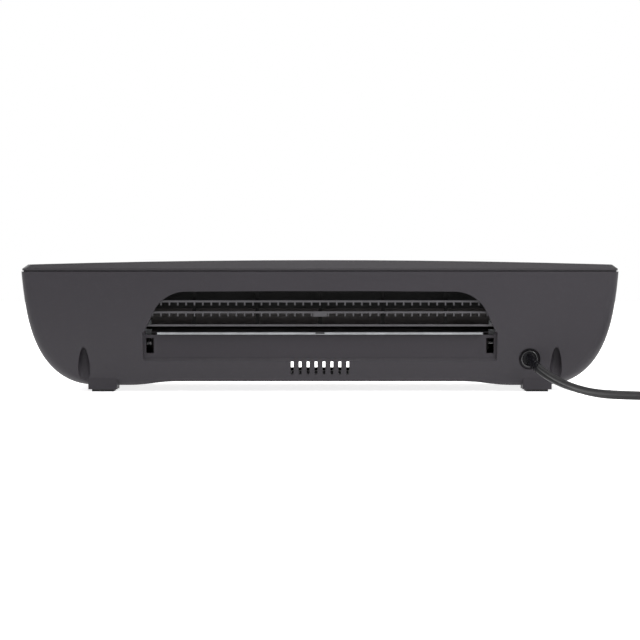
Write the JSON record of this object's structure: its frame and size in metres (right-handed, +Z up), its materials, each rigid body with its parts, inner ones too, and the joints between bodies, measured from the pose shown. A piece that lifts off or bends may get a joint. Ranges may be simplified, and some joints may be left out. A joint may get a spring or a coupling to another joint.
{
  "type": "pouch laminator",
  "caption": "Desktop pouch laminator: heated rollers in a dark boat-shaped case with a front entry slot, a rear exit mouth over a shelf, top controls and a mains lead.",
  "frame": {"origin": "on the table, in the middle of the machine's footprint (the mains lead, its coil and plug left out)", "axes": "+X across the machine's width towards the gear side, +Y towards the rear where pouches come out, +Z up"},
  "size_m": [0.5535, 0.231, 0.0963],
  "materials": {
    "case": "satin moulded plastic",
    "lid": "satin moulded plastic",
    "inner_plastic": "matt black heat-resistant plastic",
    "panel": "gloss black",
    "button": "satin grey",
    "lens_red": "clear red",
    "lens_green": "clear green",
    "foot_rubber": "matt",
    "silicone": "matt silicone",
    "steel": "ground",
    "zinc_sheet": "zinc-plated sheet",
    "black_sheet": "heat-resistant black coating",
    "spring_steel": "drawn wire",
    "gear_plastic": "natural acetal",
    "bearing_plastic": "filled black polymer",
    "heater_aluminium": "extruded",
    "mica": "mica sheet",
    "sensor": "stamped",
    "board": "solder-masked laminate",
    "switch": "moulded",
    "motor_steel": "zinc-plated can",
    "gland_black": "gloss black nylon",
    "lead_pvc": "satin flexible plastic",
    "brass": "stamped"
  },
  "bodies": {
    "case": {"lower_housing": "case", "top_cover": "lid", "exit_grille": "inner_plastic", "exit_shelf": "case", "entry_guide": "inner_plastic", "rubber_feet": "foot_rubber", "case_screws": "steel", "machine_screws": "steel", "board_screws": "steel", "drive_side_plate": "zinc_sheet", "far_side_plate": "zinc_sheet", "tie_rods": "steel", "shaft_bushings": "bearing_plastic", "hot_springs": "spring_steel", "exit_springs": "spring_steel", "idler_stud": "steel", "motor_bracket": "zinc_sheet", "gear_motor": "motor_steel", "upper_heater_plate": "heater_aluminium", "lower_heater_plate": "heater_aluminium", "heating_strips": "mica", "thermostat": "sensor", "thermal_fuse": "sensor", "heat_shield": "black_sheet", "control_panel": "panel", "power_lens": "lens_red", "ready_lens": "lens_green", "control_board": "board", "tact_switches": "switch", "power_board": "board", "strain_relief": "gland_black", "power_cord": "lead_pvc", "cord_coil": "lead_pvc", "plug_body": "lead_pvc", "plug_blades": "brass", "mains_leads": "lead_pvc"},
    "lower_hot_roller": {"lower_hot_shaft": "steel", "lower_hot_sleeve": "silicone", "lower_hot_gear": "gear_plastic"},
    "upper_hot_roller": {"upper_hot_shaft": "steel", "upper_hot_sleeve": "silicone", "upper_hot_gear": "gear_plastic"},
    "lower_exit_roller": {"lower_exit_shaft": "steel", "lower_exit_sleeve": "silicone", "lower_exit_gear": "gear_plastic"},
    "upper_exit_roller": {"upper_exit_shaft": "steel", "upper_exit_sleeve": "silicone", "upper_exit_gear": "gear_plastic"},
    "idler": {"idler_gear": "gear_plastic"},
    "motor_output": {"motor_shaft": "steel", "motor_pinion": "gear_plastic"},
    "hot_carriage": {"hot_carriages": "bearing_plastic"},
    "exit_carriage": {"exit_carriages": "bearing_plastic"},
    "release": {"release_shaft": "steel", "release_lever": "button"},
    "power_key": {"power_button": "button"},
    "thin_pouch_key": {"thin_pouch_button": "button"},
    "thick_pouch_key": {"thick_pouch_button": "button"}
  },
  "joints": [
    {"name": "lower_hot_spin", "type": "hinge", "parent": "case", "child": "lower_hot_roller", "pos_m": [0, -0.02813, 0.03465], "axis": [1, 0, 0], "continuous": true},
    {"name": "lower_exit_spin", "type": "hinge", "parent": "case", "child": "lower_exit_roller", "pos_m": [0, 0.02813, 0.03465], "axis": [1, 0, 0], "continuous": true},
    {"name": "idler_spin", "type": "hinge", "parent": "case", "child": "idler", "pos_m": [0, 0, 0.03465], "axis": [1, 0, 0], "continuous": true},
    {"name": "motor_spin", "type": "hinge", "parent": "case", "child": "motor_output", "pos_m": [0, 0, 0.06028], "axis": [1, 0, 0], "continuous": true},
    {"name": "release_turn", "type": "hinge", "parent": "case", "child": "release", "pos_m": [0, 0, 0.066], "axis": [1, 0, 0], "range_deg": [0, 40]},
    {"name": "hot_lift", "type": "slide", "parent": "case", "child": "hot_carriage", "axis": [0, 0, 1], "range_m": [0, 0.0012], "stiffness_N_per_m": 1200, "springref_m": -0.003, "deforming": ["hot_springs"]},
    {"name": "exit_lift", "type": "slide", "parent": "case", "child": "exit_carriage", "axis": [0, 0, 1], "range_m": [0, 0.0012], "deforming": ["exit_springs"]},
    {"name": "upper_hot_spin", "type": "hinge", "parent": "hot_carriage", "child": "upper_hot_roller", "pos_m": [0, -0.02813, 0.05715], "axis": [1, 0, 0], "continuous": true},
    {"name": "upper_exit_spin", "type": "hinge", "parent": "exit_carriage", "child": "upper_exit_roller", "pos_m": [0, 0.02813, 0.05715], "axis": [1, 0, 0], "continuous": true},
    {"name": "power_press", "type": "slide", "parent": "case", "child": "power_key", "axis": [0, 0, -1], "range_m": [0, 0.0012], "stiffness_N_per_m": 900, "springref_m": -0.0004},
    {"name": "thin_pouch_press", "type": "slide", "parent": "case", "child": "thin_pouch_key", "axis": [0, 0, -1], "range_m": [0, 0.0012], "stiffness_N_per_m": 900, "springref_m": -0.0004},
    {"name": "thick_pouch_press", "type": "slide", "parent": "case", "child": "thick_pouch_key", "axis": [0, 0, -1], "range_m": [0, 0.0012], "stiffness_N_per_m": 900, "springref_m": -0.0004}
  ],
  "couplings": [
    {"joint": "upper_hot_spin", "follows": "lower_hot_spin", "ratio": -1},
    {"joint": "lower_exit_spin", "follows": "lower_hot_spin", "ratio": 1},
    {"joint": "upper_exit_spin", "follows": "lower_hot_spin", "ratio": -1},
    {"joint": "idler_spin", "follows": "lower_hot_spin", "ratio": -0.66667},
    {"joint": "motor_spin", "follows": "lower_hot_spin", "ratio": 1.2857},
    {"joint": "exit_lift", "follows": "hot_lift", "ratio": 1},
    {"joint": "release_turn", "follows": "hot_lift", "rad_per_m": 581.78}
  ]
}
